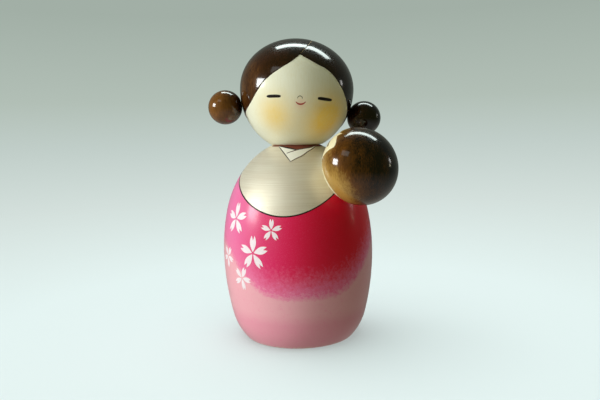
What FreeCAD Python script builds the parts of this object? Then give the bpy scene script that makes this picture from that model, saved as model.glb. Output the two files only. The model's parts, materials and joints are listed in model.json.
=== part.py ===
import FreeCAD, Part
import math
import os
import Sketcher

# Kokeshi doll of turned wood: a mother with a baby's head on her left shoulder.
# Millimetres.  +Z is up, the doll's body faces -Y, and its left side is +X.
# The origin is the centre of the flat base, on the body's own turning axis.

Vector = FreeCAD.Vector
doc = FreeCAD.newDocument("kokeshi_doll")

# ---------------------------------------------------------------- driving dimensions

DIMENSIONS = [
    # body
    ("body_height", 97.5, "height of the neck flat above the base"),
    ("base_radius", 27.5, "where the foot round meets the base"),
    ("base_edge", 1.0, "fillet round the base"),
    ("foot_round", 28.0, "profile radius next to the base"),
    ("lower_belly_round", 130.0, "profile radius below the belly line"),
    ("belly_radius", 38.1, "widest radius of the body"),
    ("belly_height", 43.9, "height of the widest ring"),
    ("upper_belly_round", 100.0, "profile radius above the belly line"),
    ("shoulder_start", 65.6, "height where the shoulder round begins"),
    ("shoulder_round", 53.0, "profile radius of the shoulder"),
    ("collar_round", 36.7, "profile radius between shoulder and neck"),
    ("neck_radius", 12.0, "radius of the neck flat"),
    # head
    ("head_radius", 28.5, "widest radius of the head"),
    ("head_crown", 24.8, "rise from the widest ring to the crown"),
    ("head_chin", 31.2, "lower semi-axis of the egg"),
    ("head_rise", 27.7, "height of the widest ring above the neck flat"),
    ("head_offset", 1.2, "head centre off the neck axis, towards its left"),
    ("head_turn", 14.0, "degrees that the face looks to its left at rest"),
    ("head_tilt", 5.5, "degrees that the head leans to its left"),
    ("neck_gap", 0.15, "gap under the head, so that it turns"),
    # neck dowel
    ("neck_dowel_radius", 5.0, "radius of the neck dowel"),
    ("neck_dowel_low", 16.0, "length of dowel in the body"),
    ("neck_dowel_high", 14.0, "length of dowel in the head"),
    # hair buns
    ("bun_radius", 8.5, "radius of a hair bun"),
    ("bun_seat", 8.2, "bun centre to its flat"),
    ("bun_gap", 0.1, "glue line between bun and head"),
    ("bun_latitude", 17.5, "degrees below the widest ring, on the egg's own angle"),
    ("bun_dowel_radius", 1.5, "radius of a bun dowel"),
    ("bun_dowel_reach", 5.0, "length of dowel on each side of the seam"),
    # baby's head
    ("baby_radius", 18.3, "widest radius of the baby's head"),
    ("baby_axis", 16.5, "semi-axis of the baby's head along its dowel"),
    ("baby_dish", 55.0, "radius of the hollow seat under the baby's head"),
    ("baby_seat", 15.3, "baby's centre to the middle of its seat"),
    ("baby_gap", 0.2, "gap under the baby's head, so that it turns"),
    ("baby_azimuth", 52.4, "degrees round from the front, towards the left"),
    ("baby_slope", 29.3, "degrees that the baby's dowel rises outwards"),
    ("baby_dowel_radius", 3.0, "radius of the baby's dowel"),
    ("baby_dowel_reach", 11.0, "length of dowel on each side of the seam"),
    # fits
    ("dowel_clearance", 0.05, "radial clearance of every dowel in its bore"),
    ("bore_extra", 0.5, "depth of a bore past its dowel's end"),
    ("dowel_chamfer", 0.5, "chamfer on a dowel's ends"),
]

dims = doc.addObject("Spreadsheet::Sheet", "dims")
dims.Label = "dims"
for row, (alias, size, meaning) in enumerate(DIMENSIONS, start=1):
    dims.set("A%d" % row, alias)
    dims.set("B%d" % row, str(size))
    dims.set("C%d" % row, meaning)
    dims.setAlias("B%d" % row, alias)
doc.recompute()

# Lengths worked out from the driving dimensions, as expressions.
SHOULDER_ANGLE = "asin((dims.shoulder_start - dims.belly_height) / dims.upper_belly_round)"
ROUND_STEP = "(dims.upper_belly_round - dims.shoulder_round)"
SHOULDER_CENTRE_R = ("(dims.belly_radius - dims.upper_belly_round + %s * cos(%s))"
                     % (ROUND_STEP, SHOULDER_ANGLE))
SHOULDER_CENTRE_Z = ("(dims.belly_height + %s * sin(%s))" % (ROUND_STEP, SHOULDER_ANGLE))
SHOULDER_BORE = "(dims.baby_dowel_reach + dims.bore_extra)"


def on_shoulder(lift):
    """Placement on the baby's dowel axis, its +Z outwards, lift above the shoulder."""
    out = "(dims.shoulder_round + %s)" % lift
    radius = "(%s + %s * cos(dims.baby_slope * 1 deg))" % (SHOULDER_CENTRE_R, out)
    height = "(%s + %s * sin(dims.baby_slope * 1 deg))" % (SHOULDER_CENTRE_Z, out)
    turn = "dims.baby_azimuth * 1 deg"
    return ("placement(vector(%s * sin(%s); -%s * cos(%s); %s); "
            "rotation(dims.baby_azimuth; 0; 90 - dims.baby_slope))"
            % (radius, turn, radius, turn, height))


def at_bun(side, out):
    """Placement on a bun's dowel axis in the head's frame, out from the head's surface."""
    latitude = "dims.bun_latitude * 1 deg"
    fall = "atan(tan(%s) * dims.head_radius / dims.head_chin)" % latitude
    across = "(dims.head_radius * cos(%s) + (%s) * cos(%s))" % (latitude, out, fall)
    down = "(dims.head_chin * sin(%s) + (%s) * sin(%s))" % (latitude, out, fall)
    spin = 0 if side > 0 else 180
    return ("placement(vector(%d * %s; 0; -%s); rotation(%d; 90 + (%s) / 1 deg; 0))"
            % (side, across, down, spin, fall))


HEAD_PLACE = ("placement(vector(dims.head_offset * cos(dims.head_turn * 1 deg); "
              "dims.head_offset * sin(dims.head_turn * 1 deg); dims.body_height + dims.head_rise); "
              "rotation(dims.head_turn; dims.head_tilt; 0))")


def on_neck_in_head(lift):
    """Placement on the neck axis in the head's frame, lift above the body's neck flat."""
    tilt = "dims.head_tilt * 1 deg"
    drop = "(dims.head_rise - (%s))" % lift
    return ("placement(vector(-dims.head_offset * cos(%s) + %s * sin(%s); 0; "
            "-dims.head_offset * sin(%s) - %s * cos(%s)); rotation(0; -dims.head_tilt; 0))"
            % (tilt, drop, tilt, tilt, drop, tilt))


# ---------------------------------------------------------------- small helpers

def primitive(kind, name, sizes, place=None):
    """A Part primitive whose sizes and place are bound to expressions."""
    made = doc.addObject(kind, name)
    for size, expression in sizes.items():
        made.setExpression(size, expression)
    if place:
        made.setExpression("Placement", place)
    return made


def cut(label, blank, tools):
    """The blank with every tool taken out of it."""
    joined = tools[0]
    if len(tools) > 1:
        joined = doc.addObject("Part::MultiFuse", label + "_tools")
        joined.Shapes = tools
    piece = doc.addObject("Part::Cut", label)
    piece.Base = blank
    piece.Tool = joined
    piece.Label = label
    return piece


def origin_plane(body, role):
    """The body's own origin plane that has this role."""
    return [plane for plane in body.Origin.OriginFeatures if plane.Role == role][0]


def sketch_on(body, name, role, offset=None):
    """An empty sketch in the body, on one of its origin planes."""
    sketch = body.newObject("Sketcher::SketchObject", name)
    sketch.AttachmentSupport = [(origin_plane(body, role), "")]
    sketch.MapMode = "FlatFace"
    if offset:
        sketch.setExpression("AttachmentOffset", offset)
    return sketch


def add_circle(sketch, radius):
    """A circle round the sketch's origin, its radius bound to an expression."""
    circle = sketch.addGeometry(Part.Circle(Vector(0, 0, 0), Vector(0, 0, 1), 1.0), False)
    sketch.addConstraint(Sketcher.Constraint("Coincident", circle, 3, -1, 1))
    size = sketch.addConstraint(Sketcher.Constraint("Radius", circle, 1.0))
    sketch.setExpression("Constraints[%d]" % size, radius)


def round_edges(solid):
    """Names of the solid's circular edges."""
    return ["Edge%d" % (i + 1) for i, edge in enumerate(solid.Shape.Edges)
            if isinstance(edge.Curve, Part.Circle)]


def value(alias):
    return float(getattr(dims, alias))


# ---------------------------------------------------------------- body

def body_profile(sketch):
    """Half of the body's outline: base, five tangent rounds, neck flat and axis."""
    start = Vector(0, 0, 0)
    belly = Vector(value("belly_radius"), value("belly_height"), 0)
    top = Vector(0, value("body_height"), 0)
    # each round: its dimension and rough angles, from the base up
    rounds = [("foot_round", -0.80, -0.24), ("lower_belly_round", -0.24, 0.0),
              ("upper_belly_round", 0.0, 0.22), ("shoulder_round", 0.22, 0.69),
              ("collar_round", 0.69, 1.24)]

    # a round that meets its neighbour at this angle has its centre on the neighbour's radius
    centres = {name: belly - Vector(value(name), 0, 0)
               for name in ("lower_belly_round", "upper_belly_round")}
    for name, neighbour, angle in (("foot_round", "lower_belly_round", -0.24),
                                   ("shoulder_round", "upper_belly_round", 0.22),
                                   ("collar_round", "shoulder_round", 0.69)):
        step = value(neighbour) - value(name)
        centres[name] = centres[neighbour] + Vector(step * math.cos(angle),
                                                    step * math.sin(angle), 0)

    base = sketch.addGeometry(Part.LineSegment(start, Vector(value("base_radius"), 0, 0)), False)
    arcs = []
    for name, low, high in rounds:
        circle = Part.Circle(centres[name], Vector(0, 0, 1), value(name))
        arcs.append(sketch.addGeometry(Part.ArcOfCircle(circle, low, high), False))
    neck_edge = Vector(value("neck_radius"), value("body_height"), 0)
    neck = sketch.addGeometry(Part.LineSegment(neck_edge, top), False)
    axis = sketch.addGeometry(Part.LineSegment(top, start), False)

    def add(*what):
        return sketch.addConstraint(Sketcher.Constraint(*what))

    def bind(expression, *what):
        sketch.setExpression("Constraints[%d]" % add(*what), expression)

    add("Coincident", base, 1, -1, 1)
    add("Horizontal", base)
    add("Coincident", base, 2, arcs[0], 1)
    for lower, upper in zip(arcs, arcs[1:]):
        add("Tangent", lower, 2, upper, 1)
    add("Coincident", arcs[-1], 2, neck, 1)
    add("Horizontal", neck)
    add("Coincident", neck, 2, axis, 1)
    add("Coincident", axis, 2, base, 1)
    add("Vertical", axis)
    bind("dims.base_radius", "DistanceX", -1, 1, base, 2, value("base_radius"))
    bind("dims.neck_radius", "DistanceX", -1, 1, neck, 1, value("neck_radius"))
    bind("dims.body_height", "DistanceY", -1, 1, neck, 1, value("body_height"))
    bind("dims.belly_radius", "DistanceX", -1, 1, arcs[2], 1, value("belly_radius"))
    bind("dims.belly_height", "DistanceY", -1, 1, arcs[2], 1, value("belly_height"))
    bind("dims.belly_height", "DistanceY", -1, 1, arcs[2], 3, value("belly_height"))
    bind("dims.shoulder_start", "DistanceY", -1, 1, arcs[3], 1, value("shoulder_start"))
    for arc, (name, low, high) in zip(arcs, rounds):
        bind("dims." + name, "Radius", arc, value(name))


def make_body():
    """The turned torso, with the neck bore and the slanted bore for the baby's dowel."""
    body = doc.addObject("PartDesign::Body", "body")
    body.Label = "body"
    outline = sketch_on(body, "body_outline", "XZ_Plane")
    body_profile(outline)
    turned = body.newObject("PartDesign::Revolution", "body_turned")
    turned.Profile = outline
    turned.ReferenceAxis = (outline, ["V_Axis"])
    turned.Angle = 360.0
    doc.recompute()

    rim = [name for name in round_edges(turned)
           if abs(turned.Shape.getElement(name).BoundBox.ZMax) < 1e-6]
    edge = body.newObject("PartDesign::Fillet", "body_base_edge")
    edge.Base = (turned, rim)
    edge.setExpression("Radius", "dims.base_edge")
    doc.recompute()

    neck = sketch_on(body, "neck_bore_circle", "XY_Plane",
                     "placement(vector(0; 0; dims.body_height); rotation(0; 0; 0))")
    add_circle(neck, "dims.neck_dowel_radius + dims.dowel_clearance")
    neck_bore = body.newObject("PartDesign::Pocket", "neck_bore")
    neck_bore.Profile = neck
    neck_bore.setExpression("Length", "dims.neck_dowel_low + dims.bore_extra")

    shoulder = sketch_on(body, "shoulder_bore_circle", "XY_Plane",
                         on_shoulder("dims.baby_dowel_radius"))
    add_circle(shoulder, "dims.baby_dowel_radius + dims.dowel_clearance")
    shoulder_bore = body.newObject("PartDesign::Pocket", "shoulder_bore")
    shoulder_bore.Profile = shoulder
    shoulder_bore.setExpression("Length", SHOULDER_BORE + " + dims.baby_dowel_radius")
    body.Tip = shoulder_bore
    return body


# ---------------------------------------------------------------- head and buns

def make_head():
    """The egg-shaped head, cut flat under the chin, with bores for its three dowels."""
    crown = primitive("Part::Ellipsoid", "head_crown_half",
                      {"Radius1": "dims.head_crown", "Radius2": "dims.head_radius",
                       "Radius3": "dims.head_radius"})
    crown.Angle1 = 0.0
    chin = primitive("Part::Ellipsoid", "head_chin_half",
                     {"Radius1": "dims.head_chin", "Radius2": "dims.head_radius",
                      "Radius3": "dims.head_radius"})
    chin.Angle2 = 0.0
    egg = doc.addObject("Part::MultiFuse", "head_egg")
    egg.Shapes = [crown, chin]

    below = primitive("Part::Cylinder", "under_chin",
                      {"Radius": "dims.head_radius", "Height": "dims.head_chin"},
                      on_neck_in_head("dims.neck_gap - dims.head_chin"))
    neck_bore = primitive("Part::Cylinder", "head_neck_bore",
                          {"Radius": "dims.neck_dowel_radius + dims.dowel_clearance",
                           "Height": "dims.neck_dowel_high + dims.bore_extra"},
                          on_neck_in_head("0"))
    tools = [below, neck_bore]
    for side, name in ((1, "left"), (-1, "right")):
        depth = "(dims.bun_dowel_reach + dims.bore_extra)"
        tools.append(primitive("Part::Cylinder", name + "_bun_bore",
                               {"Radius": "dims.bun_dowel_radius + dims.dowel_clearance",
                                "Height": depth + " + dims.bun_dowel_radius"},
                               at_bun(side, "-" + depth)))
    head = cut("head", egg, tools)
    head.setExpression("Placement", HEAD_PLACE)
    return head


def make_bun(side, label):
    """A round hair bun with a small flat against the head and a bore for its dowel."""
    ball = primitive("Part::Sphere", label + "_ball", {"Radius": "dims.bun_radius"})
    flat = primitive("Part::Cylinder", label + "_flat",
                     {"Radius": "dims.bun_radius", "Height": "dims.bun_radius"},
                     "placement(vector(0; 0; -dims.bun_seat - dims.bun_radius); rotation(0; 0; 0))")
    bore = primitive("Part::Cylinder", label + "_bore",
                     {"Radius": "dims.bun_dowel_radius + dims.dowel_clearance",
                      "Height": "dims.bun_dowel_reach + dims.bore_extra + dims.bun_radius"},
                     "placement(vector(0; 0; -dims.bun_seat - dims.bun_radius); rotation(0; 0; 0))")
    bun = cut(label, ball, [flat, bore])
    bun.setExpression("Placement", "head.Placement * "
                      + at_bun(side, "dims.bun_seat + dims.bun_gap"))
    return bun


def make_baby_head():
    """The baby's head: a flattened ball with a hollow seat that sits on the shoulder."""
    ball = primitive("Part::Ellipsoid", "baby_ball",
                     {"Radius1": "dims.baby_axis", "Radius2": "dims.baby_radius",
                      "Radius3": "dims.baby_radius"})
    dish = primitive("Part::Sphere", "baby_seat_dish", {"Radius": "dims.baby_dish"},
                     "placement(vector(0; 0; -dims.baby_seat - dims.baby_dish); rotation(0; 0; 0))")
    bore = primitive("Part::Cylinder", "baby_bore",
                     {"Radius": "dims.baby_dowel_radius + dims.dowel_clearance",
                      "Height": "dims.baby_dowel_reach + dims.bore_extra + dims.baby_axis"},
                     "placement(vector(0; 0; -dims.baby_seat - dims.baby_axis); rotation(0; 0; 0))")
    baby = cut("baby_head", ball, [dish, bore])
    baby.setExpression("Placement", on_shoulder("(dims.baby_seat + dims.baby_gap)"))
    return baby


# ---------------------------------------------------------------- dowels

def make_dowel(label, radius, length, place):
    """A round wooden dowel with chamfered ends, standing on its local XY plane."""
    dowel = doc.addObject("PartDesign::Body", label)
    dowel.Label = label
    circle = sketch_on(dowel, label + "_circle", "XY_Plane")
    add_circle(circle, radius)
    rod = dowel.newObject("PartDesign::Pad", label + "_rod")
    rod.Profile = circle
    rod.setExpression("Length", length)
    doc.recompute()
    ends = dowel.newObject("PartDesign::Chamfer", label + "_ends")
    ends.Base = (rod, round_edges(rod))
    ends.setExpression("Size", "dims.dowel_chamfer")
    dowel.Tip = ends
    dowel.setExpression("Placement", place)
    return dowel


def make_dowels():
    """The neck dowel, the baby's dowel and one dowel for each bun."""
    dowels = [
        make_dowel("neck_dowel", "dims.neck_dowel_radius",
                   "dims.neck_dowel_low + dims.neck_dowel_high",
                   "placement(vector(0; 0; dims.body_height - dims.neck_dowel_low); "
                   "rotation(0; 0; 0))"),
        make_dowel("baby_dowel", "dims.baby_dowel_radius", "2 * dims.baby_dowel_reach",
                   on_shoulder("-dims.baby_dowel_reach")),
    ]
    for side, label in ((1, "left_bun_dowel"), (-1, "right_bun_dowel")):
        dowels.append(make_dowel(label, "dims.bun_dowel_radius", "2 * dims.bun_dowel_reach",
                                 "head.Placement * " + at_bun(side, "-dims.bun_dowel_reach")))
    return dowels


# ---------------------------------------------------------------- build and write

pieces = [make_body(), make_head(), make_bun(1, "left_bun"), make_bun(-1, "right_bun"),
          make_baby_head()]
pieces += make_dowels()
doc.recompute()

for made in doc.Objects:
    if "Invalid" in made.State or "Error" in made.State:
        raise RuntimeError("%s did not recompute: %s" % (made.Name, made.State))

os.makedirs("parts", exist_ok=True)
for piece in pieces:
    shape = piece.Shape
    if shape.isNull() or not shape.isValid() or len(shape.Solids) != 1:
        raise RuntimeError("%s is not one valid solid" % piece.Label)
    shape.exportStep(os.path.join("parts", piece.Label + ".step"))
    print("%-16s %9.1f mm3" % (piece.Label, shape.Volume))
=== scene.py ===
import json
import math

import bpy
import bmesh
import numpy as np
from mathutils import Matrix, Vector


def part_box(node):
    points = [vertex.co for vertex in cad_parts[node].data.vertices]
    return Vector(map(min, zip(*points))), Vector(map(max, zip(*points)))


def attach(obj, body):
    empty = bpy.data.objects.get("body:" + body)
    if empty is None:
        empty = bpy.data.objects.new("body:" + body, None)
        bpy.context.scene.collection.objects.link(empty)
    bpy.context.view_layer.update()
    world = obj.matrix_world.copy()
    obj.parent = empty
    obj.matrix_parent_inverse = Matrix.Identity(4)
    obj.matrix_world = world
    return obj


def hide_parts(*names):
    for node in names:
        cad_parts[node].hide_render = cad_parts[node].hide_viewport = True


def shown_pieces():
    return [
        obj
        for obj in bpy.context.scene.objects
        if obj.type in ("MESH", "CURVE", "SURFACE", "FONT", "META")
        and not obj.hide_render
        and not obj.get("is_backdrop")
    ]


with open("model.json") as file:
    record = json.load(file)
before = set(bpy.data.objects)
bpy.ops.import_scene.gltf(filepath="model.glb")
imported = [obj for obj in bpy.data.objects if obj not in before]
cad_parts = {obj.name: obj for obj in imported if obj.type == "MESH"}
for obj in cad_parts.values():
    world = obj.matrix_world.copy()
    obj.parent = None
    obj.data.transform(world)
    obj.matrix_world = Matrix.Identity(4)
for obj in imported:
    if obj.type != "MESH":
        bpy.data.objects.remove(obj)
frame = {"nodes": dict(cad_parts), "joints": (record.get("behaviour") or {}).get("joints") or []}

# Kokeshi doll: mother with a baby's head on her left shoulder.  Metres, in the CAD frame:
# +Z up, the body faces -Y, its left side is +X, the origin is the centre of the base.

MM = 0.001
TURN = 2 * math.pi
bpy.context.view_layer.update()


# ---------- sizes from the frame

body_low, body_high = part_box("body")
BELLY_RADIUS = (body_high.x - body_low.x) / 2
NECK_HEIGHT = body_high.z

# the body's outline as the CAD source has it: five tangent rounds between base and neck
BASE_RADIUS = 27.5 * MM
BASE_EDGE = 1.0 * MM
FOOT_ROUND = 28.0 * MM
LOWER_BELLY_ROUND = 130.0 * MM
BELLY_HEIGHT = 43.9 * MM
UPPER_BELLY_ROUND = 100.0 * MM
SHOULDER_START = 65.6 * MM
SHOULDER_ROUND = 53.0 * MM
COLLAR_ROUND = 36.7 * MM
NECK_RADIUS = 12.0 * MM

# the egg-shaped head and how it sits
HEAD_RADIUS = 28.5 * MM
HEAD_CROWN = 24.8 * MM
HEAD_CHIN = 31.2 * MM
HEAD_RISE = 27.7 * MM
HEAD_OFFSET = 1.2 * MM
HEAD_TURN = math.radians(14.0)
HEAD_TILT = math.radians(5.5)
NECK_GAP = 0.15 * MM
NECK_BORE = 5.05 * MM
BUN_RADIUS = 8.5 * MM
BUN_SEAT = 8.2 * MM

# the baby's flattened head; its place and axis are its joint's
BABY_RADIUS = 18.3 * MM
BABY_AXIS = 16.5 * MM
BABY_SEAT = 15.3 * MM
BABY_DISH = 55.0 * MM
BABY_BORE = 3.05 * MM
BABY_LOOKS = (-0.47, 0.19, 0.86)

# how deep the bores for the dowels go, and how far a cutter starts outside the wood
NECK_BORE_DEPTH = 16.5 * MM
HEAD_BORE_DEPTH = 14.5 * MM
SHOULDER_BORE_DEPTH = 11.7 * MM
BABY_BORE_DEPTH = 11.5 * MM
BUN_BORE = 1.55 * MM
BUN_BORE_DEPTH = 5.5 * MM
CUTTER_START = 1 * MM
SHOULDER_CUTTER_START = 4 * MM
BORE_SIDES = 64

baby_joint = next(j for j in frame["joints"] if j["child"] == "baby")
BABY_CENTRE = Vector(baby_joint["pos_m"])
BABY_UP = Vector(baby_joint["axis"]).normalized()


# ---------- surfaces

class Lathe:
    """The body's turned surface, by angle round from the front and length along its outline."""

    def __init__(self):
        self.outline = self.trace()
        steps = np.hypot(*np.diff(self.outline, axis=0).T)
        self.length = np.concatenate([[0], np.cumsum(steps)])
        self.total = self.length[-1]

    def trace(self):
        """Points (radius, height) from the base edge up to the neck edge."""
        def out(angle):
            return np.array([math.cos(angle), math.sin(angle)])

        def leaves(centre, radius, inner, target, side):
            """Angle where an inner round leaves the one round centre, to pass through target."""
            away, apart = target - centre, radius - inner
            gap = np.hypot(*away)
            swing = math.acos((apart ** 2 + gap ** 2 - inner ** 2) / (2 * apart * gap))
            return math.atan2(away[1], away[0]) + side * swing

        belly = np.array([BELLY_RADIUS, BELLY_HEIGHT])
        lower = belly - [LOWER_BELLY_ROUND, 0]
        upper = belly - [UPPER_BELLY_ROUND, 0]
        foot_at = leaves(lower, LOWER_BELLY_ROUND, FOOT_ROUND, np.array([BASE_RADIUS, 0]), 1)
        foot = lower + (LOWER_BELLY_ROUND - FOOT_ROUND) * out(foot_at)
        edge_at = math.asin((BASE_EDGE - foot[1]) / (FOOT_ROUND - BASE_EDGE))
        edge = foot + (FOOT_ROUND - BASE_EDGE) * out(edge_at)
        shoulder_at = math.asin((SHOULDER_START - BELLY_HEIGHT) / UPPER_BELLY_ROUND)
        shoulder = upper + (UPPER_BELLY_ROUND - SHOULDER_ROUND) * out(shoulder_at)
        neck_edge = np.array([NECK_RADIUS, NECK_HEIGHT])
        collar_at = leaves(shoulder, SHOULDER_ROUND, COLLAR_ROUND, neck_edge, -1)
        collar = shoulder + (SHOULDER_ROUND - COLLAR_ROUND) * out(collar_at)
        collar_high = math.asin((NECK_HEIGHT - collar[1]) / COLLAR_ROUND)
        rounds = [(edge, BASE_EDGE, -TURN / 4, edge_at),
                  (foot, FOOT_ROUND, edge_at, foot_at),
                  (lower, LOWER_BELLY_ROUND, foot_at, 0.0),
                  (upper, UPPER_BELLY_ROUND, 0.0, shoulder_at),
                  (shoulder, SHOULDER_ROUND, shoulder_at, collar_at),
                  (collar, COLLAR_ROUND, collar_at, collar_high)]
        points = []
        for centre, radius, low, high in rounds:
            count = max(8, int(abs(high - low) * radius / (0.2 * MM)))
            points += [centre + radius * out(a) for a in np.linspace(low, high, count)]
        points = np.array(points)
        new_place = np.hypot(*np.diff(points, axis=0).T) > 1e-7
        return points[np.concatenate([[True], new_place])]

    def at_height(self, height):
        """Length along the outline at this height."""
        return np.interp(height, self.outline[:, 1], self.length)

    def radius(self, along):
        return np.interp(along, self.length, self.outline[:, 0])

    def height(self, along):
        return np.interp(along, self.length, self.outline[:, 1])

    def point(self, angle, along, lift=0.0):
        """Point by length along the outline, lifted off the surface; angle 0 is the front and +X is a quarter turn on."""
        step = 0.3 * MM
        rise = self.height(along + step) - self.height(along - step)
        widen = self.radius(along + step) - self.radius(along - step)
        scale = np.hypot(rise, widen)
        radius = self.radius(along) + lift * rise / scale
        height = self.height(along) - lift * widen / scale
        return np.stack(np.broadcast_arrays(radius * np.sin(angle), -radius * np.cos(angle),
                                            height), -1)


def unit(vectors):
    """The vectors at length one."""
    return vectors / np.linalg.norm(vectors, axis=-1, keepdims=True)


class Egg:
    """A turned egg, two half ellipsoids on one widest ring, by directions in its own frame."""

    def __init__(self, radius, crown, chin, matrix):
        self.radius, self.crown, self.chin = radius, crown, chin
        self.matrix = np.array(matrix)

    def scale(self, local):
        """The three half axes on this side of the widest ring."""
        pole = np.where(local[..., 2:3] >= 0, self.crown, self.chin)
        return np.concatenate([np.full_like(pole, self.radius)] * 2 + [pole], -1)

    def world(self, local):
        return local @ self.matrix[:3, :3].T + self.matrix[:3, 3]

    def point(self, direction, lift):
        """The place on the egg in this direction, lifted off its surface."""
        scale = self.scale(direction)
        return self.world(direction * scale
                          + unit(direction / scale) * np.asarray(lift)[..., None])

    def at(self, angle, latitude, lift):
        """Point by angle from the face and latitude, lifted off the surface."""
        return self.point(look(angle, latitude), lift)

    def directions(self, piece):
        """The direction of each vertex of a piece."""
        local = (corners(piece) - self.matrix[:3, 3]) @ self.matrix[:3, :3]
        return unit(local / self.scale(local))


def look(angle, latitude):
    """Unit direction: angle in degrees from the face towards +X, latitude in degrees."""
    angle, latitude = np.radians(angle), np.radians(latitude)
    return np.stack(np.broadcast_arrays(np.cos(latitude) * np.sin(angle),
                                        -np.cos(latitude) * np.cos(angle),
                                        np.sin(latitude)), -1)


def head_matrix():
    """The head's own frame: turned and leaned towards the baby."""
    turn = Matrix.Rotation(HEAD_TURN, 4, "Z")
    tilt = Matrix.Rotation(HEAD_TILT, 4, "Y")
    side = turn @ Vector((HEAD_OFFSET, 0, NECK_HEIGHT + HEAD_RISE))
    return Matrix.Translation(side) @ turn @ tilt


def baby_matrix():
    """The baby's own frame: +Z out of the shoulder and -Y out of its face."""
    looks = Vector(BABY_LOOKS)
    back = (looks.dot(BABY_UP) * BABY_UP - looks).normalized()
    turned = Matrix((back.cross(BABY_UP), back, BABY_UP)).transposed().to_4x4()
    return Matrix.Translation(BABY_CENTRE) @ turned


lathe = Lathe()
head = Egg(HEAD_RADIUS, HEAD_CROWN, HEAD_CHIN, head_matrix())
baby = Egg(BABY_RADIUS, BABY_AXIS, BABY_AXIS, baby_matrix())


# ---------- mesh helpers

def linked(name, data):
    """A new object with this data, in the scene."""
    made = bpy.data.objects.new(name, data)
    bpy.context.scene.collection.objects.link(made)
    return made


def new_object(name, points, faces, material, zones=None):
    """A smooth mesh object; zones gives each face's material where there are several."""
    mesh = bpy.data.meshes.new(name)
    mesh.from_pydata([tuple(p) for p in points], [], [tuple(f) for f in faces])
    for one in (material if isinstance(material, list) else [material]):
        mesh.materials.append(one)
    if zones is not None:
        mesh.polygons.foreach_set("material_index", np.asarray(zones, np.int32))
    mesh.polygons.foreach_set("use_smooth", np.full(len(mesh.polygons), True))
    mesh.update()
    return linked(name, mesh)


def round_rings(profile, columns):
    """Rings round +Z from pairs of radius and height, each ring starting at the front."""
    around = np.arange(columns) / columns * TURN
    return [np.stack([radius * np.sin(around), -radius * np.cos(around),
                      np.full(columns, height)], -1) for radius, height in profile]


def ring_faces(rows, columns, closed=True):
    """Quads of a grid of rows by columns, whose columns wrap round when closed."""
    row, column = np.meshgrid(np.arange(rows - 1), np.arange(columns if closed else columns - 1),
                              indexing="ij")
    after = (column + 1) % columns
    quads = np.stack([row * columns + column, row * columns + after,
                      (row + 1) * columns + after, (row + 1) * columns + column], -1)
    return quads.reshape(-1, 4).tolist()


def turned_object(name, rings, material, zones=None):
    """A closed body from rings of points: the first and the last ring are closed to a middle."""
    columns = len(rings[0])
    points = np.concatenate([*rings, [rings[0].mean(0)], [rings[-1].mean(0)]])
    first, last = len(points) - 2, len(points) - 1
    top = (len(rings) - 1) * columns
    faces = ring_faces(len(rings), columns)
    faces += [(first, (c + 1) % columns, c) for c in range(columns)]
    faces += [(last, top + c, top + (c + 1) % columns) for c in range(columns)]
    if zones is not None:
        zones = np.repeat([*zones, zones[0], zones[-1]], columns)
    return new_object(name, points, faces, material, zones)


def bore(piece, centre, direction, radius, length):
    """Cuts a round blind hole into the piece, from centre along direction."""
    turned = np.array(Vector(direction).normalized().to_track_quat("Z", "Y").to_matrix())
    rings = [np.array(centre) + ring @ turned.T
             for ring in round_rings([(radius, 0.0), (radius, length)], BORE_SIDES)]
    cutter = finish(turned_object("cutter", rings, piece.data.materials[0]), 40)
    cut = piece.modifiers.new("bore", "BOOLEAN")
    cut.operation = "DIFFERENCE"
    cut.solver = "EXACT"
    cut.object = cutter
    graph = bpy.context.evaluated_depsgraph_get()
    graph.update()
    made = bpy.data.meshes.new_from_object(piece.evaluated_get(graph))
    piece.modifiers.clear()
    piece.data = made
    bpy.data.objects.remove(cutter)


def finish(piece, crease, bores=()):
    """Faces outwards, holes cut, and edges steeper than crease degrees shaded as edges."""
    work = bmesh.new()
    work.from_mesh(piece.data)
    bmesh.ops.recalc_face_normals(work, faces=work.faces)
    work.to_mesh(piece.data)
    work.free()
    for hole in bores:
        bore(piece, *hole)
    piece.data.set_sharp_from_angle(angle=math.radians(crease))
    return piece


def smooth_line(points, per_span=12):
    """A Catmull-Rom line through the points."""
    points = np.asarray(points, float)
    ends = np.concatenate([[2 * points[0] - points[1]], points, [2 * points[-1] - points[-2]]])
    line = []
    for a, b, c, d in zip(ends, ends[1:], ends[2:], ends[3:]):
        for t in np.arange(per_span) / per_span:
            line.append(0.5 * (2 * b + (c - a) * t + (2 * a - 5 * b + 4 * c - d) * t * t
                               + (3 * b - a - 3 * c + d) * t ** 3))
    line.append(points[-1])
    return np.array(line)


# ---------- shader helpers

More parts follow.
